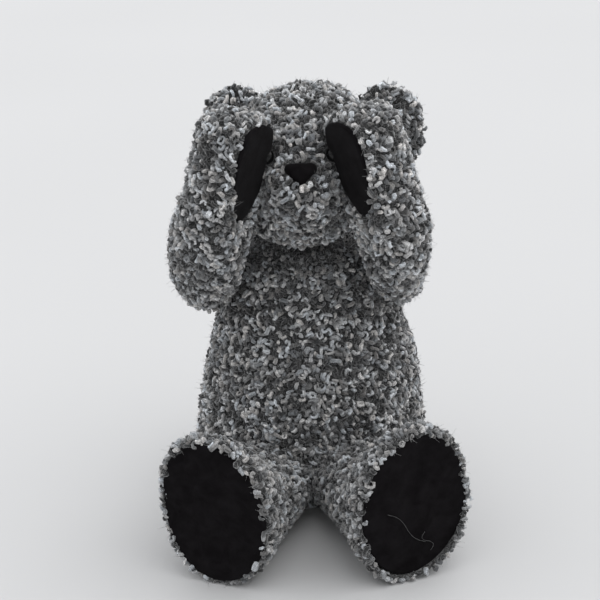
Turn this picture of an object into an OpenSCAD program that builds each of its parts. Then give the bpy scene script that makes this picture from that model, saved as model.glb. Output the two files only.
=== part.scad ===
// Bear glove puppet, seated, with its paws held up over its eyes.
// +Z is up and the bear faces -Y. The origin is on the ground, in the middle of the seat.
// Its left side is +X. Each right-hand piece is the mirror image of the left-hand one, except that
// the right ear is sewn nearer to the middle and leans outwards.

/* [Body] */
// Width of the body at its widest, near the seat
body_w = 155; // [145:1:165]
// Depth of the body at its widest
body_d = 122; // [112:1:130]
// Height of the body up to the neck
body_h = 179; // [172:1:184]
// How far the shoulders lean back from the seat
body_lean = 8; // [4:1:12]
// Thickness of the looped knit cover
cover_t = 3; // [2.5:0.5:4]

/* [Hand opening] */
// Width of the hand opening in the seat
mouth_w = 100; // [94:1:104]
// Depth of the hand opening in the seat
mouth_d = 70; // [66:1:74]
// Height of the hem binding
hem_h = 10; // [8:1:12]
// Thickness of the hem binding
hem_t = 3; // [2:0.5:3]
// Thickness of the satin lining
lining_t = 1.2; // [1:0.1:1.5]

/* [Head] */
// Width of the head
head_w = 101; // [97:1:104]
// Depth of the head, front to back, without the muzzle
head_d = 94; // [90:1:97]
// Height of the head
head_h = 103; // [100:1:105]
// Width of the muzzle
muzzle_w = 46; // [42:1:50]
// Width of the nose
nose_w = 20; // [16:1:24]
// Width of an ear
ear_w = 45; // [40:1:50]
// Height of an ear
ear_h = 57; // [50:1:62]
// Radius of an eye
eye_r = 5; // [4:0.5:5.5]
// Inner radius of the card finger tube
finger_r = 9.5; // [8.5:0.5:9.5]

/* [Arms] */
// Thickness of an arm at the elbow
arm_t = 44; // [42:1:46]
// Length of the arm from the shoulder joint to the start of the rounded paw tip
arm_l = 139; // [135:1:142]
// Forward slope of the upper arm from upright, in degrees
arm_slope = 52; // [46:1:56]
// Width of the velvet paw pad
pad_w = 41; // [39:1:44]
// Length of the velvet paw pad
pad_l = 81; // [76:1:84]

/* [Legs] */
// Length of the leg from its root to the sole
leg_l = 105; // [100:1:108]
// Sideways splay of a leg, in degrees
leg_splay = 20; // [17:1:22]
// Width of the foot
foot_w = 75; // [70:1:77]
// Height of the foot
foot_h = 101; // [95:1:103]
// Thickness of the velvet sole
sole_t = 2.5; // [2:0.5:3]

/* [Joints] */
// Radius of the shoulder joint's stud
stud_r = 3; // [2.5:0.5:3.5]
// Radial running clearance of the stud in its washer
stud_gap = 0.06; // [0.05:0.01:0.08]
// Gap between parts that move on each other
move_gap = 0.8; // [0.6:0.1:1]

/* [Hidden] */

// Colours
knit_grey = [0.34, 0.34, 0.35];
velvet_black = [0.06, 0.06, 0.07];
wadding_white = [0.93, 0.93, 0.9];
satin_grey = [0.45, 0.45, 0.48];
tape_black = [0.1, 0.1, 0.11];
nylon_white = [0.88, 0.88, 0.85];
card_brown = [0.66, 0.52, 0.36];

// Points around one ring of a skin
ring_n = 24;
// Longer than anything in the part, for the blocks that cut it
far = 300;

// Body outline: height as a part of body_h, then half-width and half-depth as parts of the widest
body_profile = [
  [0, 0.76, 0.68], [0.03, 0.89, 0.85], [0.09, 0.98, 0.96], [0.18, 1, 1], [0.32, 0.965, 0.965],
  [0.46, 0.915, 0.905], [0.6, 0.85, 0.84], [0.73, 0.755, 0.76], [0.84, 0.655, 0.67],
  [0.92, 0.575, 0.6], [0.97, 0.5, 0.53], [1, 0.4, 0.43]
];
// The origin is on the flat seat in front of the hand opening: how far the body's axis is behind it
seat_y = 33.5;
// Hand pocket outline: height as a part of its own height, then parts of the mouth's half sizes
pocket_profile = [
  [0, 1, 1], [0.3, 0.97, 0.98], [0.6, 0.86, 0.9], [0.8, 0.68, 0.78], [0.93, 0.45, 0.6], [1, 0.3, 0.42]
];
pocket_h = 158;

// Neck: the ball of the head's neck stub sits in a cup in the top of the body
neck_z = body_h + 5;
neck_y = 6;
neck_r = 17;
// Head and muzzle: the middle and the half sizes of each
head_c = [0, -6, 232];
head_r = [head_w, head_d, head_h] / 2;
muzzle_c = [0, -40, 227];
muzzle_r = [muzzle_w / 2, 29, 25];
// Finger tube in the head
tube_wall = 1.5;
tube_low = neck_z - 12.5;
tube_top = 228;
// Nose: the middle of its upper edge and its lower tip, both on the slope of the muzzle
nose_top = [0, -59.5, 245];
nose_tip = [0, -65.7, 239.4];
// Eyes: a dome with a shank, held by a washer inside the head
eye_c = [21, -45.8, 249];
eye_yaw = 28;
eye_proud = 2.5;
eye_gap = 0.6;
shank_r = 1.6;
shank_l = 10;
eye_washer_r = 4.5;
eye_washer_t = 1.2;
eye_washer_in = 7;
// Ears: the middle of each on its own side, and how far it leans outwards
ear_left_c = [58.5, 4, 252];
ear_left_tilt = -8;
ear_right_c = [36.5, 4, 254.5];
ear_right_tilt = 25;
ear_t = 14;

// Shoulder joint: its place on the body's side and the lean of its axis
shoulder = [48.3, -2, 150];
shoulder_tilt = 16;
// The disc inside the arm, the washer inside the body and the lock behind the washer
disc_r = 11;
disc_t = 2;
disc_in = 1.5;
washer_depth = 10.4;
lock_r = 7;
lock_t = 2.4;
lock_gap = 0.4;
stud_end = 0.7;
// The flat dent that the arm's root presses into the body's side
dent_r = 25;
// Arm: the lengths of its rounded ends, and where its bend starts and ends along it
arm_root_r = 20;
arm_tip_r = 13;
bend_start = 42;
bend_end = 94;
// The arm stays outside the body's side between these two heights, measured from the shoulder
side_low = -40;
side_high = 56;
// Paw pad: its middle along the arm, how far it is turned to the front, and its depth in the paw
pad_s = 128;
pad_turn = 28;
pad_in = 14;
pad_t = 2.2;

// Leg: its root, and the seam where it is sewn to the seat
leg_root = [27, -36, 0];
seam_y = -52;
seam_h = 6;
hip_slack = 0.7;
// Half of the gap between the two legs
mid_gap = 0.5;
// Sole: how far its top leans outwards in degrees, its rim inside the foot, the board behind it
sole_lean = 6;
sole_rim = 3.8;
board_t = 2;

// A ring of points: centre c, then half sizes a and b along the unit vectors u and v
function ring(c, u, v, a, b) = [
  for (i = [0 : ring_n - 1]) let (t = 360 * i / ring_n) c + u * a * cos(t) + v * b * sin(t)
];
function face_ring(i0, flip) = [for (i = [0 : ring_n - 1]) i0 + (flip ? ring_n - 1 - i : i)];

// A closed skin through a list of rings, flat at both ends
module skin(rings) {
  m = len(rings);
  sides = [
    for (j = [0 : m - 2]) for (i = [0 : ring_n - 1])
      let (a = j * ring_n + i, b = j * ring_n + (i + 1) % ring_n)
        each [[a, a + ring_n, b + ring_n], [a, b + ring_n, b]]
  ];
  polyhedron(
    points = [for (r = rings) each r],
    faces = concat([face_ring(0, false)], sides, [face_ring((m - 1) * ring_n, true)])
  );
}

// An egg: an ellipsoid with half sizes r, made of level rings
module egg(c, r) {
  skin([
    for (lat = [-84 : 14 : 84])
      ring(c + [0, 0, r[2] * sin(lat)], [1, 0, 0], [0, 1, 0], r[0] * cos(lat), r[1] * cos(lat))
  ]);
}

module both_sides(left) {
  if (left) children();
  else mirror([1, 0, 0]) children();
}

// The body's solid outline, grown outwards by g (or inwards, when g is negative)
module body_skin(g) {
  skin([
    for (p = body_profile)
      ring(
        [0, body_lean * p[0] + 1, p[0] * body_h + g * (p[0] - 0.2) / 0.8],
        [1, 0, 0], [0, 1, 0], p[1] * body_w / 2 + g, p[2] * body_d / 2 + g
      )
  ]);
}

// The same with the flat dents that the arm roots press into its sides
module body_solid(g = 0) {
  difference() {
    body_skin(g);
    for (left = [true, false]) both_sides(left)
      at_shoulder() translate([g, 0, 0]) rotate([0, 90, 0]) cylinder(r = dent_r - g, h = 40, $fn = 64);
  }
}

// The hand pocket's solid outline, made smaller by g
module pocket_solid(g = 0) {
  skin([
    for (p = pocket_profile)
      ring(
        [0, body_lean * p[0] + 1, p[0] * (pocket_h - g) - (p[0] == 0 ? 1 : 0)],
        [1, 0, 0], [0, 1, 0], p[1] * (mouth_w / 2 - hem_t) - g, p[2] * (mouth_d / 2 - hem_t) - g
      )
  ]);
  translate([0, neck_y, pocket_h - 22]) cylinder(r = finger_r + tube_wall + 2 - g, h = 40, $fn = 48);
}

module hem_solid() {
  skin([for (z = [-1, hem_h]) ring([0, 1, z], [1, 0, 0], [0, 1, 0], mouth_w / 2, mouth_d / 2)]);
}

module neck_ball(r) {
  translate([0, neck_y, neck_z]) sphere(r = r, $fn = 64);
}

// Through the shoulder joint: local X is the joint's axis, outwards
module at_shoulder() {
  translate(shoulder) rotate([0, -shoulder_tilt, 0]) children();
}

module stud_bore(r) {
  at_shoulder() rotate([0, -90, 0]) translate([0, 0, -8]) cylinder(r = r, h = 30, $fn = 48);
}

module washer_solid() {
  at_shoulder() translate([-washer_depth, 0, 0]) rotate([0, -90, 0]) cylinder(r = disc_r, h = disc_t, $fn = 64);
}

module lock_space() {
  at_shoulder() translate([-washer_depth - disc_t, 0, 0]) rotate([0, -90, 0])
    cylinder(r = lock_r + move_gap, h = 4, $fn = 64);
}

module body_cover() {
  color(knit_grey) difference() {
    body_solid();
    body_solid(-cover_t);
    hem_solid();
    neck_ball(neck_r + move_gap);
    for (left = [true, false]) both_sides(left) stud_bore(stud_r + 0.4);
  }
}

module body_wadding() {
  color(wadding_white) difference() {
    body_solid(-cover_t);
    pocket_solid();
    hem_solid();
    neck_ball(neck_r + move_gap);
    for (left = [true, false]) both_sides(left) {
      stud_bore(stud_r + 0.4);
      washer_solid();
      lock_space();
    }
  }
}

module hand_lining() {
  color(satin_grey) difference() {
    pocket_solid();
    pocket_solid(lining_t);
    neck_ball(neck_r + move_gap);
    translate([-far / 2, -far / 2, -far]) cube([far, far, far + 1]);
  }
}

module hem_binding() {
  color(tape_black) difference() {
    hem_solid();
    pocket_solid();
    translate([-far / 2, -far / 2, -far]) cube([far, far, far]);
  }
}

module shoulder_washer(left) {
  color(nylon_white) both_sides(left) difference() {
    washer_solid();
    stud_bore(stud_r + stud_gap);
  }
}

module head_solid(g = 0) {
  egg(head_c, head_r + [g, g, g]);
}

module muzzle_solid(g = 0) {
  egg(muzzle_c, muzzle_r + [g, g, g]);
}

module tube_bore(r) {
  translate([0, neck_y, tube_low - 20]) cylinder(r = r, h = tube_top - tube_low + 20, $fn = 64);
}

// Through an eye: local -Z points into the head
module at_eye() {
  translate(eye_c) rotate([90, 0, eye_yaw]) children();
}

module eye_shank() {
  at_eye() translate([0, 0, -shank_l]) cylinder(r = shank_r, h = shank_l, $fn = 24);
}

module eye_washer_solid() {
  at_eye() translate([0, 0, -eye_washer_in]) cylinder(r = eye_washer_r, h = eye_washer_t, $fn = 32);
}

module head_cover() {
  color(knit_grey) difference() {
    union() {
      head_solid();
      neck_ball(neck_r);
    }
    head_solid(-cover_t);
    neck_ball(neck_r - cover_t);
    tube_bore(finger_r + tube_wall);
    for (left = [true, false]) both_sides(left) eye_shank();
  }
}

module head_stuffing() {
  color(wadding_white) difference() {
    union() {
      head_solid(-cover_t);
      neck_ball(neck_r - cover_t);
    }
    tube_bore(finger_r + tube_wall);
    for (left = [true, false]) both_sides(left) {
      eye_shank();
      eye_washer_solid();
    }
  }
}

module finger_tube() {
  color(card_brown) translate([0, neck_y, tube_low]) difference() {
    cylinder(r = finger_r + tube_wall, h = tube_top - tube_low, $fn = 64);
    translate([0, 0, -1]) cylinder(r = finger_r, h = tube_top - tube_low - 1, $fn = 64);
  }
}

module muzzle_cover() {
  color(knit_grey) difference() {
    muzzle_solid();
    muzzle_solid(-cover_t);
    head_solid();
  }
}

module muzzle_stuffing() {
  color(wadding_white) difference() {
    muzzle_solid(-cover_t);
    head_solid();
  }
}

module nose() {
  corner_r = 3.5;
  color(velvet_black) difference() {
    hull() {
      for (side = [-1, 1]) translate(nose_top + [side * (nose_w / 2 - corner_r), 0, 0])
        sphere(r = corner_r, $fn = 24);
      translate(nose_tip) sphere(r = corner_r - 0.5, $fn = 24);
    }
    muzzle_solid();
  }
}

module eye(left) {
  color(velvet_black) both_sides(left) difference() {
    union() {
      at_eye() translate([0, 0, eye_proud - eye_r]) sphere(r = eye_r, $fn = 32);
      eye_shank();
    }
    difference() {
      head_solid();
      eye_shank();
    }
  }
}

module eye_washer(left) {
  color(nylon_white) both_sides(left) difference() {
    eye_washer_solid();
    eye_shank();
  }
}

module ear(left) {
  color(knit_grey) both_sides(left) difference() {
    translate(left ? ear_left_c : ear_right_c) rotate([0, left ? ear_left_tilt : ear_right_tilt, 0])
      egg([0, 0, 0], [ear_w, ear_t, ear_h] / 2);
    head_solid();
  }
}

// The arm's middle line: straight and sloping from the shoulder, then bent upright at the paw
bend_r = (bend_end - bend_start) / (arm_slope * PI / 180);
function arm_angle(s) = arm_slope * (1 - max(0, min(1, (s - bend_start) / (bend_end - bend_start))));
function arm_fwd(s) =
  min(s, bend_start) * sin(arm_slope) + bend_r * (cos(arm_angle(s)) - cos(arm_slope));
function arm_up(s) =
  min(s, bend_start) * cos(arm_slope) + bend_r * (sin(arm_slope) - sin(arm_angle(s))) + max(0, s - bend_end);
function arm_out(s) = lookup(s, [[0, 17], [45, 19.5], [70, 20.5], [100, 18.5], [117, 19], [136, 21]]);
function arm_half_w(s) = arm_t / 2 * lookup(s, [[0, 0.93], [45, 1], [70, 1.1], [110, 1.16], [136, 1.08]]);
function arm_half_d(s) = arm_t / 2 * lookup(s, [[0, 0.98], [45, 1.02], [80, 1.05], [110, 1.14], [136, 1.1]]);
function round_end(s) =
  s < 0 ? sqrt(1 - pow(s / arm_root_r, 2)) : s > arm_l ? sqrt(1 - pow((s - arm_l) / arm_tip_r, 2)) : 1;
function arm_ring(s, g) =
  let (q = arm_angle(s), k = round_end(s))
    ring(
      [arm_out(s), -arm_fwd(s), arm_up(s)] + [0, -sin(q), cos(q)] * (s < 0 || s > arm_l ? g * sign(s) : 0),
      [1, 0, 0], [0, cos(q), sin(q)], arm_half_w(s) * k + g, arm_half_d(s) * k + g
    );
end_turns = [80, 62, 44, 26];
arm_steps = concat(
  [for (q = end_turns) -arm_root_r * sin(q)],
  [for (i = [0 : 10]) arm_l * i / 10],
  [for (i = [3 : -1 : 0]) arm_l + arm_tip_r * sin(end_turns[i])]
);

// The paw pad's place: local Z points out of the pad's velvet face
module at_pad() {
  translate([arm_out(pad_s), -arm_fwd(pad_s), arm_up(pad_s)])
    rotate([0, 0, pad_turn]) translate([-pad_in, 0, 0]) rotate([0, -90, 0]) children();
}

// The space that the arm must leave to the body, the head and what lies before the pad, less g
module arm_limits(g) {
  at_shoulder() {
    translate([move_gap + g - far, -far / 2, side_low]) cube([far, far, side_high - side_low]);
    at_pad() translate([-far / 2, -far / 2, -g]) cube([far, far, far]);
  }
  head_solid(move_gap + 0.4 + g);
  muzzle_solid(move_gap + 0.4 + g);
  at_eye() translate([0, 0, eye_proud - eye_r]) sphere(r = eye_r + eye_gap + g, $fn = 32);
}

module arm_solid(g = 0) {
  difference() {
    at_shoulder() skin([for (s = arm_steps) arm_ring(s, -g)]);
    arm_limits(g);
  }
}

module pad_plate(g) {
  at_shoulder() at_pad() translate([0, 0, -pad_t]) linear_extrude(pad_t + 1)
    polygon([for (i = [0 : 39]) [pad_l / 2 * cos(i * 9) + g, pad_w / 2 * sin(i * 9)]]);
}

module arm_cover(left) {
  color(knit_grey) both_sides(left) difference() {
    arm_solid();
    arm_solid(cover_t);
    pad_plate(0);
    stud_bore(stud_r);
  }
}

module arm_stuffing(left) {
  color(wadding_white) both_sides(left) difference() {
    arm_solid(cover_t);
    stud_bore(stud_r);
    disc_plate();
  }
}

module paw_pad(left) {
  color(velvet_black) both_sides(left) intersection() {
    arm_solid();
    pad_plate(0);
  }
}

module disc_plate() {
  at_shoulder() translate([move_gap + cover_t + disc_in, 0, 0]) rotate([0, 90, 0])
    cylinder(r = disc_r, h = disc_t, $fn = 64);
}

module shoulder_disc(left) {
  stud_in = washer_depth + disc_t + lock_gap + lock_t + stud_end;
  color(nylon_white) both_sides(left) {
    disc_plate();
    at_shoulder() translate([-stud_in, 0, 0]) rotate([0, 90, 0])
      cylinder(r = stud_r, h = stud_in + move_gap + cover_t + disc_in + 0.1, $fn = 48);
  }
}

module shoulder_lock(left) {
  color(nylon_white) both_sides(left) at_shoulder()
    translate([-washer_depth - disc_t - lock_gap, 0, 0]) rotate([0, -90, 0]) difference() {
      cylinder(r = lock_r, h = lock_t, $fn = 64);
      translate([0, 0, -1]) cylinder(r = stud_r, h = 5, $fn = 48);
    }
}

// Leg outline: distance from the root as a part of leg_l, height of the middle as a part of foot_h,
// then the half-width as a part of foot_w and the half-height as a part of foot_h
leg_profile = [
  [-0.25, 0.25, 0.3, 0.177], [-0.1, 0.255, 0.397, 0.229], [0.1, 0.26, 0.445, 0.253],
  [0.35, 0.281, 0.445, 0.274], [0.55, 0.328, 0.445, 0.318], [0.7, 0.396, 0.466, 0.385],
  [0.82, 0.464, 0.493, 0.458], [0.92, 0.502, 0.5, 0.5], [0.98, 0.502, 0.493, 0.493],
  [1, 0.502, 0.477, 0.481]
];

// Leg frame: local -Y runs along the leg to the sole
module at_leg() {
  translate(leg_root) rotate([0, 0, leg_splay]) children();
}

module leg_skin(g) {
  at_leg() skin([
    for (p = leg_profile)
      let (lean = max(0, p[0] - 0.4) / 0.6 * sole_lean)
        ring(
          [0, -p[0] * leg_l, p[1] * foot_h], [cos(lean), 0, -sin(lean)], [sin(lean), 0, cos(lean)],
          p[2] * foot_w - g, p[3] * foot_h - g
        )
  ]);
}

module leg_solid(g = 0) {
  difference() {
    leg_skin(g);
    body_solid(move_gap + hip_slack + g);
    translate([-far + mid_gap + g, -far / 2, -far / 2]) cube([far, far, far]);
    translate([-far / 2, seam_y, -far]) cube([far, far, far + seam_h]);
  }
}

// An oval plate square to the leg, from distance s0 to s1, smaller than the sole by g
module sole_plate(s0, s1, g) {
  rim = sole_rim + g;
  at_leg() translate([0, -s0, foot_h / 2]) rotate([0, sole_lean, 0]) rotate([90, 0, 0])
    linear_extrude(s1 - s0)
      polygon([for (i = [0 : 47]) [(foot_w / 2 - rim) * cos(i * 7.5), (foot_h / 2 - rim) * sin(i * 7.5)]]);
}

module leg_cover(left) {
  color(knit_grey) both_sides(left) difference() {
    leg_solid();
    leg_solid(cover_t);
    sole_plate(leg_l - sole_t, leg_l + 5, 0);
  }
}

module leg_stuffing(left) {
  color(wadding_white) both_sides(left) difference() {
    leg_solid(cover_t);
    sole_plate(leg_l - sole_t - board_t, leg_l + 5, -20);
  }
}

module sole_board(left) {
  color(card_brown) both_sides(left) intersection() {
    leg_solid(cover_t);
    sole_plate(leg_l - sole_t - board_t, leg_l - sole_t, -20);
  }
}

module sole_pad(left) {
  color(velvet_black) both_sides(left) intersection() {
    leg_solid();
    sole_plate(leg_l - sole_t, leg_l + 5, 0);
  }
}

translate([0, seat_y, 0]) {
  body_cover();
  body_wadding();
  hand_lining();
  hem_binding();
  shoulder_washer(true);  // shoulder_washer_left
  shoulder_washer(false);  // shoulder_washer_right
  head_cover();
  head_stuffing();
  finger_tube();
  muzzle_cover();
  muzzle_stuffing();
  nose();
  eye(true);  // eye_left
  eye(false);  // eye_right
  eye_washer(true);  // eye_washer_left
  eye_washer(false);  // eye_washer_right
  ear(true);  // ear_left
  ear(false);  // ear_right
  arm_cover(true);  // arm_cover_left
  arm_cover(false);  // arm_cover_right
  arm_stuffing(true);  // arm_stuffing_left
  arm_stuffing(false);  // arm_stuffing_right
  paw_pad(true);  // paw_pad_left
  paw_pad(false);  // paw_pad_right
  shoulder_disc(true);  // shoulder_disc_left
  shoulder_disc(false);  // shoulder_disc_right
  shoulder_lock(true);  // shoulder_lock_left
  shoulder_lock(false);  // shoulder_lock_right
  leg_cover(true);  // leg_cover_left
  leg_cover(false);  // leg_cover_right
  leg_stuffing(true);  // leg_stuffing_left
  leg_stuffing(false);  // leg_stuffing_right
  sole_board(true);  // sole_board_left
  sole_board(false);  // sole_board_right
  sole_pad(true);  // sole_pad_left
  sole_pad(false);  // sole_pad_right
}
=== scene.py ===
import math

import bmesh
import bpy
import numpy as np
from mathutils import Matrix, Vector
from mathutils.bvhtree import BVHTree


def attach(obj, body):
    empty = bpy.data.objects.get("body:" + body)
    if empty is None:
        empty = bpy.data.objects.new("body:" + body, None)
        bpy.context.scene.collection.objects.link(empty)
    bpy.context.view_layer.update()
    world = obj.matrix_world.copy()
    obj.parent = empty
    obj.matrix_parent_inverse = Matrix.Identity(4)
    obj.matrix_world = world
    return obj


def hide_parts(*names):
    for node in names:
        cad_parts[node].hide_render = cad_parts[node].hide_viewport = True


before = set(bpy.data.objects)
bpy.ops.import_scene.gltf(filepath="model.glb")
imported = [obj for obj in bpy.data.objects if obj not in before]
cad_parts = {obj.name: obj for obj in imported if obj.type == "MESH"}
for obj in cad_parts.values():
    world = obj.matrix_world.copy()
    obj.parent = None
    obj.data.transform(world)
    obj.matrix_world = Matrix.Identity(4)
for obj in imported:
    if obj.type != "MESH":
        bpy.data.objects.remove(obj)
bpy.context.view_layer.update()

MM = 0.001
SEAT_Y = 33.5 * MM  # how far the body's axis is behind the origin
SIDES = ("left", "right")
GROUND_GAP = 0.3 * MM  # how far the knit's ground stays off the floor
YARN_GAP = 0.25 * MM  # and its yarn

# ---------------------------------------------------------------- materials


def new_material(name):
    """A material with nodes, and its tree and shader."""
    material = bpy.data.materials.new(name)
    material.use_nodes = True
    tree = material.node_tree
    return material, tree, tree.nodes["Principled BSDF"]


def add_node(tree, kind, **values):
    """A shader node, with its properties and the values of its sockets set by name."""
    node = tree.nodes.new(kind)
    for key, value in values.items():
        if key in node.bl_rna.properties:
            setattr(node, key, value)
        else:
            node.inputs[key.replace("_", " ")].default_value = value
    return node


def object_coordinates(tree):
    return add_node(tree, "ShaderNodeTexCoord").outputs["Object"]


def add_bump(tree, shader, height, distance, strength=1.0):
    bump = add_node(tree, "ShaderNodeBump", Strength=strength, Distance=distance)
    tree.links.new(height, bump.inputs["Height"])
    tree.links.new(bump.outputs["Normal"], shader.inputs["Normal"])


def add_ramp(tree, value, stops):
    """A colour ramp with stops of (place, grey or colour)."""
    ramp = add_node(tree, "ShaderNodeValToRGB")
    elements = ramp.color_ramp.elements
    while len(elements) < len(stops):
        elements.new(0.5)
    for element, (place, colour) in zip(elements, stops):
        element.position = place
        grey = isinstance(colour, (int, float))
        element.color = (colour, colour, colour, 1) if grey else (*colour, 1)
    tree.links.new(value, ramp.inputs["Fac"])
    return ramp.outputs["Color"]


def add_noise(tree, size_mm, detail=3.0, roughness=0.6, distortion=0.0):
    """Noise whose blobs are about size_mm across."""
    noise = add_node(
        tree, "ShaderNodeTexNoise", Scale=1 / (size_mm * MM), Detail=detail,
        Roughness=roughness, Distortion=distortion,
    )
    tree.links.new(object_coordinates(tree), noise.inputs["Vector"])
    return noise.outputs["Fac"]


def soft_shader(shader, roughness, sheen, sheen_roughness=0.5, tint=(1, 1, 1, 1)):
    shader.inputs["Roughness"].default_value = roughness
    shader.inputs["Specular IOR Level"].default_value = 0.2
    shader.inputs["Sheen Weight"].default_value = sheen
    shader.inputs["Sheen Roughness"].default_value = sheen_roughness
    shader.inputs["Sheen Tint"].default_value = tint


def boucle_yarn():
    """The yarn of the loops: its marled grey comes from each loop's tone, which also holds painted
    shading in a fold and painted light or shading per piece.
    """
    material, tree, shader = new_material("boucle_yarn")
    tone = add_node(tree, "ShaderNodeAttribute", attribute_name="tone")
    fibres = add_noise(tree, 0.75, 3.0, 0.65, 1.5)
    mix = add_node(tree, "ShaderNodeMix", data_type="RGBA", blend_type="MULTIPLY")
    mix.inputs["Factor"].default_value = 1.0
    tree.links.new(tone.outputs["Color"], mix.inputs["A"])
    tree.links.new(add_ramp(tree, fibres, [(0.38, 0.32), (0.62, 1.0)]), mix.inputs["B"])
    tree.links.new(mix.outputs["Result"], shader.inputs["Base Color"])
    soft_shader(shader, 0.9, 0.7)
    add_bump(tree, shader, fibres, 0.0006, 0.8)
    return material


def boucle_ground():
    """The knit under the loops: the same marled greys, darker, with knotted relief."""
    material, tree, shader = new_material("boucle_ground")
    marl = add_noise(tree, 1.6, 4.0, 0.7, 1.2)
    colour = add_ramp(tree, marl, [(0.36, 0.012), (0.5, 0.05), (0.6, 0.14), (0.7, 0.3)])
    tree.links.new(colour, shader.inputs["Base Color"])
    soft_shader(shader, 0.95, 0.1)
    add_bump(tree, shader, marl, 0.0012, 1.0)
    return material


def velvet():
    """Short black pile with brushed patches and a little pale lint."""
    material, tree, shader = new_material("black_velvet")
    brushed = add_noise(tree, 9.0, 3.0, 0.55, 0.4)
    pile = add_ramp(
        tree, brushed, [(0.3, (0.0055, 0.0048, 0.0053)), (0.75, (0.0115, 0.0105, 0.0115))]
    )
    lint = add_ramp(tree, add_noise(tree, 1.1, 6.0, 0.75, 2.0), [(0.73, 0.0), (0.78, 1.0)])
    mix = add_node(tree, "ShaderNodeMix", data_type="RGBA")
    mix.inputs["B"].default_value = (0.035, 0.035, 0.038, 1)
    tree.links.new(lint, mix.inputs["Factor"])
    tree.links.new(pile, mix.inputs["A"])
    tree.links.new(mix.outputs["Result"], shader.inputs["Base Color"])
    soft_shader(shader, 1.0, 0.1, 0.3)
    shader.inputs["Specular IOR Level"].default_value = 0.03
    add_bump(tree, shader, add_noise(tree, 0.5, 2.0), 0.0003, 0.5)
    return material


def satin():
    """Woven lining: fine threads across a soft gloss."""
    material, tree, shader = new_material("satin_lining")
    weave = add_node(tree, "ShaderNodeTexWave", Scale=900.0, Distortion=1.0, bands_direction="Z")
    tree.links.new(object_coordinates(tree), weave.inputs["Vector"])
    colour = add_ramp(
        tree, weave.outputs["Fac"], [(0.0, (0.1, 0.1, 0.115)), (1.0, (0.16, 0.16, 0.18))]
    )
    tree.links.new(colour, shader.inputs["Base Color"])
    soft_shader(shader, 0.38, 0.2)
    add_bump(tree, shader, weave.outputs["Fac"], 0.0001, 0.4)
    return material


def twill_tape():
    """Black binding tape with a diagonal rib."""
    material, tree, shader = new_material("binding_tape")
    rib = add_node(
        tree, "ShaderNodeTexWave", Scale=420.0, Distortion=0.3, bands_direction="DIAGONAL"
    )
    tree.links.new(object_coordinates(tree), rib.inputs["Vector"])
    colour = add_ramp(tree, rib.outputs["Fac"], [(0.0, 0.008), (1.0, 0.028)])
    tree.links.new(colour, shader.inputs["Base Color"])
    soft_shader(shader, 0.8, 0.2)
    add_bump(tree, shader, rib.outputs["Fac"], 0.0003, 0.8)
    return material


def fibre_filling():
    """White polyester fibre."""
    material, tree, shader = new_material("fibre_filling")
    wisps = add_noise(tree, 4.0, 5.0, 0.7, 3.0)
    colour = add_ramp(tree, wisps, [(0.3, 0.62), (0.7, 0.85)])
    tree.links.new(colour, shader.inputs["Base Color"])
    soft_shader(shader, 0.95, 0.3)
    add_bump(tree, shader, wisps, 0.001, 0.7)
    return material


def grey_card():
    """Pressed card with fibres and scuffed edges."""
    material, tree, shader = new_material("card")
    fibres = add_noise(tree, 0.9, 5.0, 0.7, 2.0)
    colour = add_ramp(tree, fibres, [(0.3, (0.3, 0.2, 0.11)), (0.7, (0.46, 0.33, 0.2))])
    tree.links.new(colour, shader.inputs["Base Color"])
    shader.inputs["Roughness"].default_value = 0.85
    add_bump(tree, shader, fibres, 0.0001, 0.4)
    return material


def nylon():
    """Moulded white nylon, slightly cloudy."""
    material, tree, shader = new_material("nylon")
    cloud = add_noise(tree, 6.0, 2.0)
    colour = add_ramp(tree, cloud, [(0.3, (0.72, 0.72, 0.67)), (0.7, (0.82, 0.82, 0.78))])
    tree.links.new(colour, shader.inputs["Base Color"])
    shader.inputs["Roughness"].default_value = 0.4
    shader.inputs["Subsurface Weight"].default_value = 0.1
    return material


def eye_gloss():
    """Glossy black plastic with faint handling marks."""
    material, tree, shader = new_material("eye_gloss")
    marks = add_noise(tree, 1.5, 4.0, 0.6, 1.0)
    colour = add_ramp(tree, marks, [(0.3, 0.004), (0.8, 0.009)])
    tree.links.new(colour, shader.inputs["Base Color"])
    shader.inputs["Roughness"].default_value = 0.1
    shader.inputs["Specular IOR Level"].default_value = 0.25
    shader.inputs["Coat Weight"].default_value = 0.1
    return material


def lint_thread():
    material, tree, shader = new_material("lint")
    colour = add_ramp(tree, add_noise(tree, 2.0, 2.0), [(0.3, 0.02), (0.7, 0.065)])
    tree.links.new(colour, shader.inputs["Base Color"])
    soft_shader(shader, 0.9, 0.2)
    return material


def studio_floor():
    material, tree, shader = new_material("studio_floor")
    colour = add_ramp(tree, add_noise(tree, 900.0, 1.0), [(0.3, 0.565), (0.7, 0.585)])
    tree.links.new(colour, shader.inputs["Base Color"])
    shader.inputs["Roughness"].default_value = 0.9
    return material


YARN = boucle_yarn()
GROUND = boucle_ground()
VELVET = velvet()
SATIN = satin()
TAPE = twill_tape()
FILLING = fibre_filling()
CARD = grey_card()
NYLON = nylon()
EYE = eye_gloss()
LINT = lint_thread()

# ---------------------------------------------------------------- mesh helpers


def node_object(node):
    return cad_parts[node]


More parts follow.
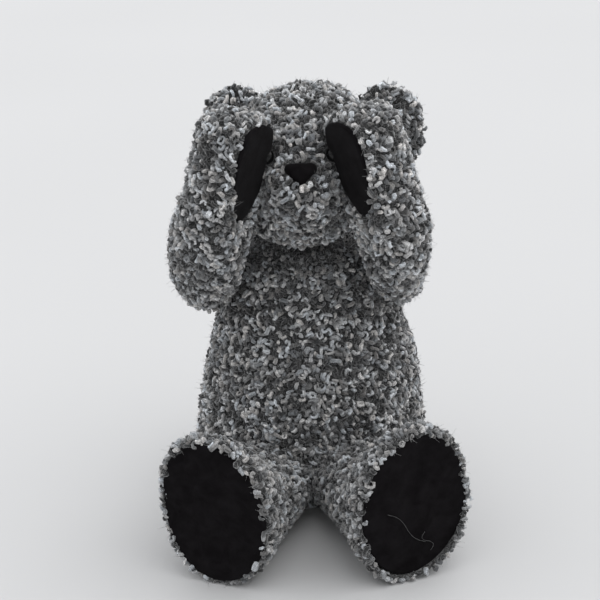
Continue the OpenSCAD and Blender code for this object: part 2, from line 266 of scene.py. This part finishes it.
def mesh_object(name, verts, faces, material):
    """An object from arrays of points and of faces with equal numbers of corners."""
    mesh = bpy.data.meshes.new(name)
    verts = np.asarray(verts, np.float32)
    faces = np.asarray(faces, np.int32)
    count, corners = faces.shape
    mesh.vertices.add(len(verts))
    mesh.vertices.foreach_set("co", verts.ravel())
    mesh.loops.add(count * corners)
    mesh.loops.foreach_set("vertex_index", faces.ravel())
    mesh.polygons.add(count)
    mesh.polygons.foreach_set("loop_start", np.arange(0, count * corners, corners, dtype=np.int32))
    mesh.polygons.foreach_set("use_smooth", np.ones(count, bool))
    mesh.update()
    mesh.validate()
    mesh.materials.append(material)
    obj = bpy.data.objects.new(name, mesh)
    bpy.context.scene.collection.objects.link(obj)
    return obj


def points_of(mesh):
    co = np.empty(len(mesh.vertices) * 3)
    mesh.vertices.foreach_get("co", co)
    return co.reshape(-1, 3)


def set_points(mesh, co):
    mesh.vertices.foreach_set("co", np.asarray(co, np.float32).ravel())
    mesh.update()


def tree_of(nodes):
    """A search tree of some CAD nodes' surfaces."""
    verts, faces = [], []
    for node in nodes:
        mesh = node_object(node).data
        start = len(verts)
        verts += [v.co.copy() for v in mesh.vertices]
        faces += [[start + i for i in p.vertices] for p in mesh.polygons]
    return BVHTree.FromPolygons(verts, faces)


def copy_of(name, nodes, material):
    """One object with copies of some CAD nodes' meshes."""
    joined = bmesh.new()
    for node in nodes:
        joined.from_mesh(node_object(node).data)
    mesh = bpy.data.meshes.new(name)
    joined.to_mesh(mesh)
    joined.free()
    mesh.materials.clear()
    mesh.materials.append(material)
    obj = bpy.data.objects.new(name, mesh)
    bpy.context.scene.collection.objects.link(obj)
    return obj


def apply_modifiers(obj):
    """The object's mesh becomes its evaluated mesh."""
    graph = bpy.context.evaluated_depsgraph_get()
    mesh = bpy.data.meshes.new_from_object(obj.evaluated_get(graph), depsgraph=graph)
    obj.modifiers.clear()
    old, obj.data = obj.data, mesh
    bpy.data.meshes.remove(old)


def remesh(obj, voxel):
    modifier = obj.modifiers.new("remesh", "REMESH")
    modifier.mode = "VOXEL"
    modifier.voxel_size = voxel
    modifier.use_smooth_shade = True
    apply_modifiers(obj)


def relax(obj, steps, factor=0.5):
    """Evens a surface out, which takes the facets away and rounds its edges."""
    modifier = obj.modifiers.new("relax", "SMOOTH")
    modifier.iterations = steps
    modifier.factor = factor
    apply_modifiers(obj)


def swell_points(co, centre, reach, push):
    """Pushes points out or in around one place, all in mm from the body's axis."""
    away = co / MM - (np.array(centre) + [0, SEAT_Y / MM, 0])
    weight = np.exp(-(away**2).sum(axis=1) / reach**2)
    return co + weight[:, None] * np.array(push) * MM


def swell(obj, centre, reach, push):
    set_points(obj.data, swell_points(points_of(obj.data), centre, reach, push))


def keep_off_floor(obj):
    co = points_of(obj.data)
    co[:, 2] = np.maximum(co[:, 2], GROUND_GAP)
    set_points(obj.data, co)


# ---------------------------------------------------------------- boucle knit

LOOP_RINGS = 8
LOOP_SIDES = 6
LOOPS_A_PIECE = 1900
TONES = ((0.28, 0.015, 0.06), (0.32, 0.14, 0.4), (0.4, 0.5, 1.1))  # share, darkest, lightest
STREAKS = (0.7, 1.15, 0.85, 1.3, 0.75, 1.2)  # the plies of the yarn, one tone on each side
BARE_RIM = 1.2 * MM  # the gap that loops leave around velvet and binding
EYE_RIM = 4.2 * MM  # and around the eyes
OUTER_SIDE = 1.3 * MM  # how far a cover's outer side at least stands off its filling
TRIES = 4.5  # points tried for each square of the spacing
SAME_AS_KNOT = 0.65  # the share of loops whose tone follows their cluster
HAIRS_A_LOOP = 2.2
HAIR_RINGS = 5
HAIR_SIDES = 3
HAIR_RADIUS = 0.15 * MM
HAIRS_A_PIECE = 7500
KNOT = 4.9  # mm, size of the clusters that loops form


def scatter(obj, inside, spacing, rng, rims):
    """Points on the outer side of a knit, spacing apart, with their normals.

    inside is a search tree of what the knit covers: the outer side stands off it.
    rims are pairs of a search tree and the gap that loops leave around it."""
    mesh = obj.data
    mesh.calc_loop_triangles()
    tris = np.empty(len(mesh.loop_triangles) * 3, np.int32)
    mesh.loop_triangles.foreach_get("vertices", tris)
    corners = points_of(mesh)[tris.reshape(-1, 3)]
    cross = np.cross(corners[:, 1] - corners[:, 0], corners[:, 2] - corners[:, 0])
    area = np.linalg.norm(cross, axis=1) / 2
    count = int(area.sum() / spacing**2 * TRIES)
    pick = rng.choice(len(area), count, p=area / area.sum())
    a, b = rng.random((2, count))
    fold = a + b > 1
    a[fold], b[fold] = 1 - a[fold], 1 - b[fold]
    at = corners[pick]
    points = at[:, 0] + a[:, None] * (at[:, 1] - at[:, 0]) + b[:, None] * (at[:, 2] - at[:, 0])
    normals = cross[pick] / (2 * area[pick, None])
    outer = np.ones(count, bool)
    for i, point in enumerate(points):
        place = Vector(point)
        off = inside.find_nearest(place, 12 * MM)[3]
        free = all(tree.find_nearest(place, gap)[3] is None for tree, gap in rims)
        outer[i] = (off is None or off > OUTER_SIDE) and free
    points, normals = points[outer], normals[outer]
    return thin_out(points, normals, spacing)


def thin_out(points, normals, spacing):
    """Leaves out every point that is nearer than spacing to one before it."""
    cells, chosen = {}, []
    index = np.floor(points / spacing).astype(int)
    near = [(i, j, k) for i in (-1, 0, 1) for j in (-1, 0, 1) for k in (-1, 0, 1)]
    limit = spacing**2
    for n, (x, y, z) in enumerate(index.tolist()):
        p = points[n]
        free = True
        for i, j, k in near:
            for m in cells.get((x + i, y + j, z + k), ()):
                d = p - points[m]
                if d[0] * d[0] + d[1] * d[1] + d[2] * d[2] < limit:
                    free = False
                    break
            if not free:
                break
        if free:
            cells.setdefault((x, y, z), []).append(n)
            chosen.append(n)
    return points[chosen], normals[chosen]


def unit(v):
    return v / np.maximum(np.linalg.norm(v, axis=-1, keepdims=True), 1e-9)


def knots(points, rng):
    """A number from 0 to 1 for each point, shared by the points of one cluster."""
    cells = np.floor(points / (KNOT * MM)).astype(int)
    _, which = np.unique(cells, axis=0, return_inverse=True)
    which = which.ravel()
    return rng.random(which.max() + 1)[which]


def loops_of_yarn(name, points, normals, ease_and_painted_shading, painted_light, rng):
    """Curled loops of yarn that stand in a knit, as one mesh with a tone on each point.

    ease is 1 for a free loop and 0 for one that is squashed in a fold, where the loop is smaller and
    its tone gets painted shading. A factor for the whole piece paints light or shading on every
    tone."""
    n = len(points)
    size = (0.7 + 0.45 * ease_and_painted_shading)[:, None]
    knot = knots(points, rng)
    t = np.linspace(0, 1, LOOP_RINGS)
    sideways = unit(np.cross(normals, rng.normal(size=(n, 3))))
    across = np.cross(normals, sideways)
    tilt = rng.uniform(-1.25, 1.25, (n, 1))
    rise = unit(normals * np.cos(tilt) + across * np.sin(tilt))
    axis = np.cross(sideways, rise)
    radius = rng.uniform(1.05, 2.1, (n, 1)) * MM * size
    turns = rng.uniform(0.55, 1.1, (n, 1))
    angle = rng.uniform(0, 2 * math.pi, (n, 1)) + 2 * math.pi * turns * t
    wobble = 1 + 0.28 * np.sin(2 * angle + rng.uniform(0, 6.28, (n, 1)))
    pitch = rng.uniform(-1.1, 1.1, (n, 1)) * MM * size * (t - 0.5)
    lift = (rng.uniform(-0.5, 0.6, (n, 1)) + 1.1 * knot[:, None]) * MM * ease_and_painted_shading[:, None]
    path = (
        (points + normals * lift)[:, None]
        + (radius * wobble * np.cos(angle))[..., None] * sideways[:, None]
        + (radius * wobble * np.sin(angle))[..., None] * rise[:, None]
        + pitch[..., None] * axis[:, None]
    )
    along = unit(np.gradient(path, axis=1))
    out = unit(np.cross(along, axis[:, None]))
    side = np.cross(along, out)
    thick = rng.uniform(0.7, 1.3, (n, 1)) * MM * size
    thick = (thick * np.clip(1.3 - np.abs(2 * t - 1) ** 4, 0.35, 1))[..., None]
    turn = np.arange(LOOP_SIDES) * 2 * math.pi / LOOP_SIDES
    thick = thick * rng.uniform(0.72, 1.28, (n, LOOP_RINGS, LOOP_SIDES))
    rings = (
        path[:, :, None]
        + (thick * np.cos(turn))[..., None] * out[:, :, None]
        + (thick * np.sin(turn))[..., None] * side[:, :, None]
    )
    verts = rings.reshape(-1, 3)
    verts[:, 2] = np.maximum(verts[:, 2], YARN_GAP)
    quads = []
    for ring in range(LOOP_RINGS - 1):
        for s in range(LOOP_SIDES):
            a, b = ring * LOOP_SIDES + s, ring * LOOP_SIDES + (s + 1) % LOOP_SIDES
            quads.append([a, b, b + LOOP_SIDES, a + LOOP_SIDES])
    last = (LOOP_RINGS - 1) * LOOP_SIDES
    for start, turns_back in ((0, True), (last, False)):
        cap = [[start + i for i in four] for four in ((0, 1, 2, 3), (0, 3, 4, 5))]
        quads += [four[::-1] if turns_back else four for four in cap]
    each = LOOP_RINGS * LOOP_SIDES
    faces = (np.arange(n)[:, None, None] * each + np.array(quads)[None]).reshape(-1, 4)
    obj = mesh_object(name, verts, faces, YARN)
    paint(obj, knot, t, ease_and_painted_shading, painted_light, rng)
    pack_loops(obj, n, np.array(quads))
    return obj


def paint(obj, knot, t, ease_and_painted_shading, painted_light, rng):
    """Gives each loop of marled yarn its tone, which often changes along it. Loops squashed in a
    fold get painted shading, and a factor for the whole piece paints light or shading on every tone.
    """
    n = len(knot)
    shares = np.cumsum([share for share, _, _ in TONES])
    lot = np.where(
        rng.random((2, n)) < SAME_AS_KNOT, knot * shares[-1], rng.random((2, n)) * shares[-1]
    )
    kinds = np.minimum(np.searchsorted(shares, lot), len(TONES) - 1)
    low, high = np.array([low for _, low, _ in TONES]), np.array([high for _, _, high in TONES])
    ends = low[kinds] + (high - low)[kinds] * rng.random((2, n))
    twist = np.where(rng.random(n) < 0.5, 0.0, 1.0)
    blend = np.clip((t[None] - rng.uniform(0.3, 0.7, (n, 1))) * 6 + 0.5, 0, 1) * twist[:, None]
    tone = ends[0][:, None] * (1 - blend) + ends[1][:, None] * blend
    # painted shading: loops squashed in a fold get darker, and the piece's factor paints light or
    # shading on every tone
    tone *= painted_light * (0.15 + 0.85 * ease_and_painted_shading**1.5)[:, None]
    tone = (tone[:, :, None] * np.array(STREAKS) * rng.uniform(0.8, 1.2, (n, len(t), 1))).reshape(-1)
    cool = np.repeat(rng.uniform(-0.04, 0.06, n), LOOP_RINGS * LOOP_SIDES)
    colour = np.stack([tone * (1 - cool), tone, tone * (1 + cool), np.ones_like(tone)], axis=1)
    layer = obj.data.color_attributes.new("tone", "FLOAT_COLOR", "POINT")
    layer.data.foreach_set("color", colour.astype(np.float32).ravel())


def pack_loops(obj, n, quads):
    """A UV map with a small square for each loop, so that a baked colour stays crisp."""
    cells = math.ceil(math.sqrt(n))
    corner = quads.ravel()
    u = 0.2 + 0.6 * (corner // LOOP_SIDES) / (LOOP_RINGS - 1)
    v = 0.3 + 0.4 * (corner % LOOP_SIDES) / (LOOP_SIDES - 1)
    column, row = np.arange(n) % cells, np.arange(n) // cells
    uv = np.stack([(column[:, None] + u[None]) / cells, (row[:, None] + v[None]) / cells], axis=2)
    layer = obj.data.uv_layers.new(name="OFBake")
    layer.data.foreach_set("uv", uv.astype(np.float32).ravel())


def stray_fibres(name, points, normals, rng):
    """Thin bent hairs that stand out of the loops."""
    n = len(points)
    t = np.linspace(0, 1, HAIR_RINGS)[None, :, None]
    first = unit(normals * rng.uniform(0.3, 1, (n, 1)) + 0.8 * rng.normal(size=(n, 3)))[:, None]
    bend = rng.normal(size=(n, 1, 3)) * 1.6 * MM
    length = rng.uniform(1.8, 4.4, (n, 1, 1)) * MM
    path = (points + normals * 0.6 * MM)[:, None] + first * length * t + bend * t**2
    turn = np.arange(HAIR_SIDES) * 2 * math.pi / HAIR_SIDES
    along = unit(np.gradient(path, axis=1))
    out = unit(np.cross(along, rng.normal(size=(n, 1, 3))))
    side = np.cross(along, out)
    thick = HAIR_RADIUS * (1.1 - 0.8 * t)
    rings = (
        path[:, :, None] + (thick * np.cos(turn))[..., None] * out[:, :, None]
        + (thick * np.sin(turn))[..., None] * side[:, :, None]
    )
    verts = rings.reshape(-1, 3)
    verts[:, 2] = np.maximum(verts[:, 2], YARN_GAP)
    quads = []
    for start in range(0, (HAIR_RINGS - 1) * HAIR_SIDES, HAIR_SIDES):
        for s in range(HAIR_SIDES):
            a, b = start + s, start + (s + 1) % HAIR_SIDES
            quads.append([a, b, b + HAIR_SIDES, a + HAIR_SIDES])
    each = HAIR_RINGS * HAIR_SIDES
    faces = (np.arange(n)[:, None, None] * each + np.array(quads)[None]).reshape(-1, 4)
    obj = mesh_object(name, verts, faces, YARN)
    tone = np.repeat(rng.uniform(0.2, 0.6, n), each)
    colour = np.stack([tone, tone, tone, np.ones_like(tone)], axis=1)
    layer = obj.data.color_attributes.new("tone", "FLOAT_COLOR", "POINT")
    layer.data.foreach_set("color", colour.astype(np.float32).ravel())
    return obj


def ease_and_painted_shading_of(points, painted_shading_folds):
    """How free each point is: 1 - depth at a neighbour's surface, 1 at a reach in mm from it. Less
    free loops are squashed and get painted shading.
    """
    ease_and_painted_shading = np.ones(len(points))
    for nodes, reach, depth in painted_shading_folds:
        neighbours = tree_of(nodes)
        for i, point in enumerate(points):
            gap = neighbours.find_nearest(Vector(point), reach * MM)[3]
            if gap is not None:
                ease_and_painted_shading[i] = min(ease_and_painted_shading[i], 1 - depth * (1 - gap / (reach * MM)))
    return ease_and_painted_shading


def pressed(node, body, material, presses):
    """A CAD node's copy that follows the presses of its cover."""
    piece = copy_of(f"{node}_pressed", [node], material)
    for press in presses:
        swell(piece, *press)
    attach(piece, body)
    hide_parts(node)


def knit(
    name, nodes, covers, body, seed, voxel, bare=(), presses=(), painted_shading_folds=(), painted_light=1.0
):
    """A knit cover made from CAD nodes: the ground fabric, its loops and its hairs in pieces. Loops
    squashed in a fold get painted shading, and a factor paints light or shading on all its loops.
    """
    rng = np.random.default_rng(seed)
    ground = copy_of(name, nodes, GROUND)
    remesh(ground, voxel)
    relax(ground, 6)
    rims = [(tree_of(bare), BARE_RIM)] if bare else []
    if body == "head":
        rims.append((tree_of(EYES), EYE_RIM))
    points, normals = scatter(ground, tree_of(covers), SPACING, rng, rims)
    # loops near the listed neighbours are squashed and get painted shading
    ease_and_painted_shading = ease_and_painted_shading_of(points, painted_shading_folds)
    for centre, reach, push in presses:
        swell(ground, centre, reach, push)
        points = swell_points(points, centre, reach, push)
    keep_off_floor(ground)
    order = np.lexsort((points[:, 2], points[:, 1] > points[:, 1].mean()))
    pieces = max(1, math.ceil(len(points) / LOOPS_A_PIECE))
    for i, part in enumerate(np.array_split(order, pieces)):
        loops = loops_of_yarn(
            f"{name}_loops_{i + 1}", points[part], normals[part], ease_and_painted_shading[part], painted_light, rng
        )
        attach(loops, body)
    some = rng.choice(len(points), int(len(points) * HAIRS_A_LOOP))
    pieces = math.ceil(len(some) / HAIRS_A_PIECE)
    for i, part in enumerate(np.array_split(some, pieces)):
        hairs = stray_fibres(f"{name}_hairs_{i + 1}", points[part], normals[part], rng)
        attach(hairs, body)
    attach(ground, body)
    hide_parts(*nodes)
    return ground


# ---------------------------------------------------------------- the bear

SPACING = 2.6 * MM
ARM_COVERS = ["arm_cover_left", "arm_cover_right"]
PAW_PADS = ["paw_pad_left", "paw_pad_right"]
LEG_COVERS = ["leg_cover_left", "leg_cover_right"]
EYES = ["eye_left", "eye_right"]


def make_body():
    knit(
        "body_knit", ["body_cover"], ["body_wadding"], "torso", 11, 1.8 * MM, ["hem_binding"],
        [((80, 0, 95), 50, (5, 0, 0)), ((-75, 0, 112), 30, (2.5, 0, 0))],
        # painted shading: loops under the chin, along the arms and near the legs get darker as well
        # as squashed
        painted_shading_folds=[(["head_cover"], 28, 1), (ARM_COVERS, 12, 0.45), (LEG_COVERS, 10, 0.3)],
    )


def make_head():
    crown = [((0, 5, 283), 35, (6, 0, 0)), ((30, 0, 275), 20, (0, 0, 2))]
    pressed("head_stuffing", "head", FILLING, crown)
    knit(
        "head_knit", ["head_cover"], ["head_stuffing"], "head", 12, 1.8 * MM, ["nose"], crown,
        # painted shadow of the arms and paws on the face, and painted light that makes the head's
        # loops lighter
        painted_shading_folds=[(ARM_COVERS + PAW_PADS, 7, 0.3)], painted_light=1.1,
    )
    knit(
        "muzzle_knit", ["muzzle_cover"], ["muzzle_stuffing"], "head", 13, 1.4 * MM, ["nose"],
        # painted shadow of the arms and paws on the muzzle
        painted_shading_folds=[(ARM_COVERS + PAW_PADS, 5, 0.3)],
    )
    for i, side in enumerate(SIDES):
        sign = 1 if side == "left" else -1
        knit(
            f"ear_{side}_knit", [f"ear_{side}"], ["head_cover"], "head", 14 + i, 1.4 * MM,
            # painted light that makes the ears' loops lighter
            presses=[((sign * 58, -4, 254), 15, (0, 4, 0))], painted_light=1.12,
        )


def make_arms():
    presses = {
        "left": [
            ((88, -6, 150), 22, (-6, 0, 0)), ((68, -2, 132), 14, (0, 0, 3)),
            ((88, -30, 176), 24, (-4.5, 0, 0)),
        ],
        "right": [
            ((-86, -20, 168), 30, (-2.5, 0, 0)), ((-84, -50, 205), 26, (-3, 0, 0)),
            ((-86, -8, 146), 16, (3, 0, 0)), ((-70, -2, 132), 16, (0, 0, 4)),
        ],
    }
    for i, side in enumerate(SIDES):
        knit(
            f"arm_{side}_knit", [f"arm_cover_{side}"], [f"arm_stuffing_{side}"],
            f"arm_{side}", 20 + i, 1.6 * MM, [f"paw_pad_{side}"], presses[side],
        )
        pressed(f"arm_stuffing_{side}", f"arm_{side}", FILLING, presses[side])


OUTER_PRESS = {
    "left": ((98, -115, 72), 30, (-3, 0, 0)),
    "right": ((-102, -112, 50), 40, (4.5, 2, 0)),
}


def make_legs():
    presses = {
        "left": [
            ((55, -125, 8), 28, (-4, -6, 0)), ((95, -110, 15), 25, (1, -5, 0)), OUTER_PRESS["left"],
        ],
        "right": [OUTER_PRESS["right"], ((-60, -112, 102), 30, (0, 0, -2))],
    }
    for i, side in enumerate(SIDES):
        knit(
            f"leg_{side}_knit", [f"leg_cover_{side}"],
            [f"leg_stuffing_{side}", f"sole_board_{side}"],
            f"leg_{side}", 30 + i, 1.6 * MM, [f"sole_pad_{side}"], presses[side],
            # painted shading: the legs' loops are darker all over, and darker still near the body
            painted_shading_folds=[(["body_cover"], 16, 0.3)], painted_light=0.78,
        )
        pressed(f"leg_stuffing_{side}", f"leg_{side}", FILLING, [OUTER_PRESS[side]])
        pressed(f"sole_board_{side}", f"leg_{side}", CARD, [OUTER_PRESS[side]])


def spread(obj, across, up, lift):
    """Widens and heightens a flat upright piece in its own plane, and lifts its face."""
    co = points_of(obj.data)
    middle = co.mean(axis=0)
    out = np.linalg.svd(co - middle, full_matrices=False)[2][2]
    out *= -np.sign(out[1])
    side = unit(np.cross(out, (0, 0, 1)))
    rise = np.cross(side, out)
    away = co - middle
    away += np.outer(away @ side, side) * (across - 1) + np.outer(away @ rise, rise) * (up - 1)
    set_points(obj.data, middle + away + out * lift)


def velvet_piece(name, node, body, voxel, steps, grow=None, presses=()):
    piece = copy_of(name, [node], VELVET)
    remesh(piece, voxel)
    relax(piece, steps)
    if grow:
        spread(piece, *grow)
    for press in presses:
        swell(piece, *press)
    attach(piece, body)
    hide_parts(node)
    return piece


def make_velvet():
    for side in SIDES:
        velvet_piece(f"paw_velvet_{side}", f"paw_pad_{side}", f"arm_{side}", 0.8 * MM, 3)
        velvet_piece(
            f"sole_velvet_{side}", f"sole_pad_{side}", f"leg_{side}", 0.9 * MM, 4,
            (1.06, 1.02, 0.6 * MM), [OUTER_PRESS[side]],
        )
    velvet_piece("nose_velvet", "nose", "head", 0.45 * MM, 6)


# A stray thread on the left sole. Each strand: its start (mm across and up from the sole's
# middle), its heading (degrees), its length and its sway to either side (mm).
LINT_STRANDS = (((-20, 0), -45, 36, 2), ((5, -18), -75, 15, -3))
LINT_POINTS = 6
SOLE_MIDDLE = Vector((63, -101, 50)) * MM
SOLE_TURN = math.radians(20)


def make_lint():
    """A stray thread that clings to the left sole."""
    across = Vector((math.cos(SOLE_TURN), math.sin(SOLE_TURN), 0))
    out = Vector((math.sin(SOLE_TURN), -math.cos(SOLE_TURN), 0))
    surface = tree_of(["sole_pad_left"])
    curve = bpy.data.curves.new("lint", "CURVE")
    curve.dimensions = "3D"
    curve.bevel_depth = 0.2 * MM
    curve.bevel_resolution = 1
    curve.resolution_u = 4
    for (first, low), heading, length, sway in LINT_STRANDS:
        spline = curve.splines.new("BEZIER")
        spline.bezier_points.add(LINT_POINTS - 1)
        along = math.cos(math.radians(heading)), math.sin(math.radians(heading))
        for i, point in enumerate(spline.bezier_points):
            t = i / (LINT_POINTS - 1)
            bow = sway * math.sin(2 * math.pi * t)
            a = first + along[0] * length * t - along[1] * bow
            b = low + along[1] * length * t + along[0] * bow
            start = SOLE_MIDDLE + across * a * MM + Vector((0, 0, b * MM)) + out * 20 * MM
            point.co = surface.ray_cast(start, -out)[0] + out * 1.0 * MM
            point.handle_left_type = point.handle_right_type = "AUTO"
    obj = bpy.data.objects.new("lint_thread", curve)
    bpy.context.scene.collection.objects.link(obj)
    curve.materials.append(LINT)
    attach(obj, "leg_left")


def finish_nodes():
    """Materials for the CAD nodes that stay."""
    looks = {
        "wadding": FILLING, "stuffing": FILLING, "hand_lining": SATIN, "hem_binding": TAPE,
        "finger_tube": CARD, "sole_board": CARD, "eye_washer": NYLON, "eye": EYE,
        "shoulder": NYLON,
    }
    for name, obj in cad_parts.items():
        for key, material in looks.items():
            if key in name:
                for mat_slot in obj.material_slots:
                    mat_slot.material = material
                break


# ---------------------------------------------------------------- camera, light and floor

FLOOR_HALF = 60  # m, so far that its edge can't be told from the horizon
SUN_ENERGY = 0.9
SUN_ANGLE = math.radians(70)
SUN_TURN = (math.radians(4), math.radians(24), 0)
SKY_RANGE = (-0.9, 0.0, 0.6, 1.25)  # from this to this direction, from this to this strength
SKY_COLOUR = (0.97, 0.98, 1, 1)
VIEW_DOWN = math.radians(22)
VIEW_ROLL = math.radians(2.2)
VIEW_DISTANCE = 0.9
VIEW_TARGET = Vector((-0.0034, SEAT_Y, 0.135))
LENS = 79.2


def make_camera():
    camera = bpy.data.objects.new("camera", bpy.data.cameras.new("camera"))
    bpy.context.scene.collection.objects.link(camera)
    camera.data.lens = LENS
    camera.data.sensor_width = 36
    camera.data.clip_end = 30
    back = Vector((0, -math.cos(VIEW_DOWN), math.sin(VIEW_DOWN)))
    turn = back.to_track_quat("Z", "Y").to_matrix().to_4x4()
    camera.matrix_world = (
        Matrix.Translation(VIEW_TARGET + back * VIEW_DISTANCE) @ turn
        @ Matrix.Rotation(-VIEW_ROLL, 4, "Z")
    )
    bpy.context.scene.camera = camera


def make_stage():
    corners = [(FLOOR_HALF * x, FLOOR_HALF * y, 0) for x, y in ((-1, -1), (1, -1), (1, 1), (-1, 1))]
    floor = mesh_object("floor", corners, [(0, 1, 2, 3)], studio_floor())
    sun = bpy.data.objects.new("sun", bpy.data.lights.new("sun", "SUN"))
    bpy.context.scene.collection.objects.link(sun)
    sun.data.energy = SUN_ENERGY
    sun.data.angle = SUN_ANGLE
    sun.rotation_euler = SUN_TURN
    world = bpy.data.worlds.new("studio")
    world.use_nodes = True
    tree = world.node_tree
    way = add_node(tree, "ShaderNodeSeparateXYZ")
    tree.links.new(add_node(tree, "ShaderNodeTexCoord").outputs["Generated"], way.inputs[0])
    light = add_node(tree, "ShaderNodeMapRange")
    for socket, value in zip(light.inputs[1:5], SKY_RANGE):
        socket.default_value = value
    tree.links.new(way.outputs["Y"], light.inputs[0])
    tree.links.new(light.outputs[0], tree.nodes["Background"].inputs["Strength"])
    tree.nodes["Background"].inputs["Color"].default_value = SKY_COLOUR
    bpy.context.scene.world = world
    bpy.context.scene.view_settings.view_transform = "Standard"


make_camera()
make_stage()
finish_nodes()
make_body()
make_head()
make_arms()
make_legs()
make_velvet()
make_lint()
